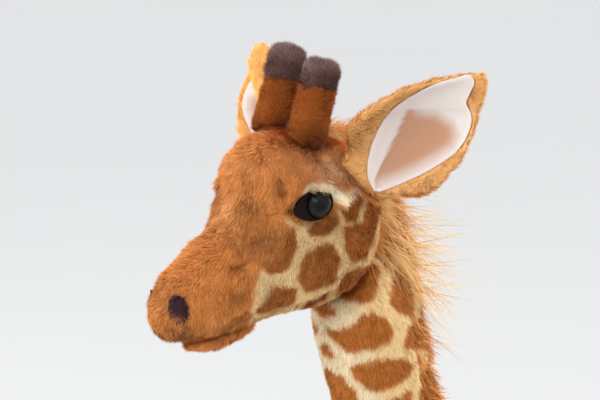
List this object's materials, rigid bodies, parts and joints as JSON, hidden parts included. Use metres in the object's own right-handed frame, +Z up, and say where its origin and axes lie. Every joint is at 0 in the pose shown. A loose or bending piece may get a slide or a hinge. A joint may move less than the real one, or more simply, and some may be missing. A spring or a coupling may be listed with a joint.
{
  "type": "plush giraffe",
  "caption": "Standing plush giraffe with a long neck, fuzzy horns, satin-lined ears that fold back and spring forward, a mane and a tufted tail.",
  "frame": {"origin": "on the floor, under the middle of the toy's bounds", "axes": "+Z up, along the toy's height; the giraffe faces -Y and its left side is +X"},
  "size_m": [0.1634, 0.3442, 0.5998],
  "materials": {
    "plush": "short orange-brown plush pile",
    "cream_plush": "short cream plush pile with brown patches",
    "dark_plush": "short dark brown plush pile",
    "mane_plush": "long orange-tan pile",
    "satin": "smooth pale pink satin",
    "eye_plastic": "glossy black",
    "rim_felt": "dark brown felt",
    "washer_plastic": "white",
    "steel": "plain drawn wire"
  },
  "bodies": {
    "giraffe": {"body": "cream_plush", "neck": "cream_plush", "head": "plush", "lower_jaw": "plush", "mane": "mane_plush", "left_horn": "plush", "right_horn": "plush", "left_horn_tip": "dark_plush", "right_horn_tip": "dark_plush", "left_eye": "eye_plastic", "right_eye": "eye_plastic", "left_eye_rim": "rim_felt", "right_eye_rim": "rim_felt", "left_eye_washer": "washer_plastic", "right_eye_washer": "washer_plastic", "left_nostril": "dark_plush", "right_nostril": "dark_plush", "front_left_leg": "cream_plush", "front_right_leg": "cream_plush", "rear_left_leg": "cream_plush", "rear_right_leg": "cream_plush", "front_left_hoof": "dark_plush", "front_right_hoof": "dark_plush", "rear_left_hoof": "dark_plush", "rear_right_hoof": "dark_plush", "neck_wire": "steel", "front_leg_wire": "steel", "rear_leg_wire": "steel"},
    "left_ear_body": {"left_ear": "plush", "left_ear_lining": "satin"},
    "right_ear_body": {"right_ear": "plush", "right_ear_lining": "satin"},
    "tail_body": {"tail": "plush", "tail_tuft": "dark_plush"}
  },
  "joints": [
    {"name": "left_ear_fold", "type": "hinge", "parent": "giraffe", "child": "left_ear_body", "pos_m": [0.02438, -0.07996, 0.54543], "axis": [0.3941, 0.6114, -0.6862], "range_deg": [-35, 35], "stiffness_Nm_per_rad": 0.04},
    {"name": "right_ear_fold", "type": "hinge", "parent": "giraffe", "child": "right_ear_body", "pos_m": [-0.02438, -0.07996, 0.54543], "axis": [0.6058, -0.0687, 0.7927], "range_deg": [-35, 35], "stiffness_Nm_per_rad": 0.04},
    {"name": "tail_lift", "type": "hinge", "parent": "giraffe", "child": "tail_body", "pos_m": [0, 0.13165, 0.29683], "axis": [1, 0, 0], "range_deg": [0, 70]}
  ]
}
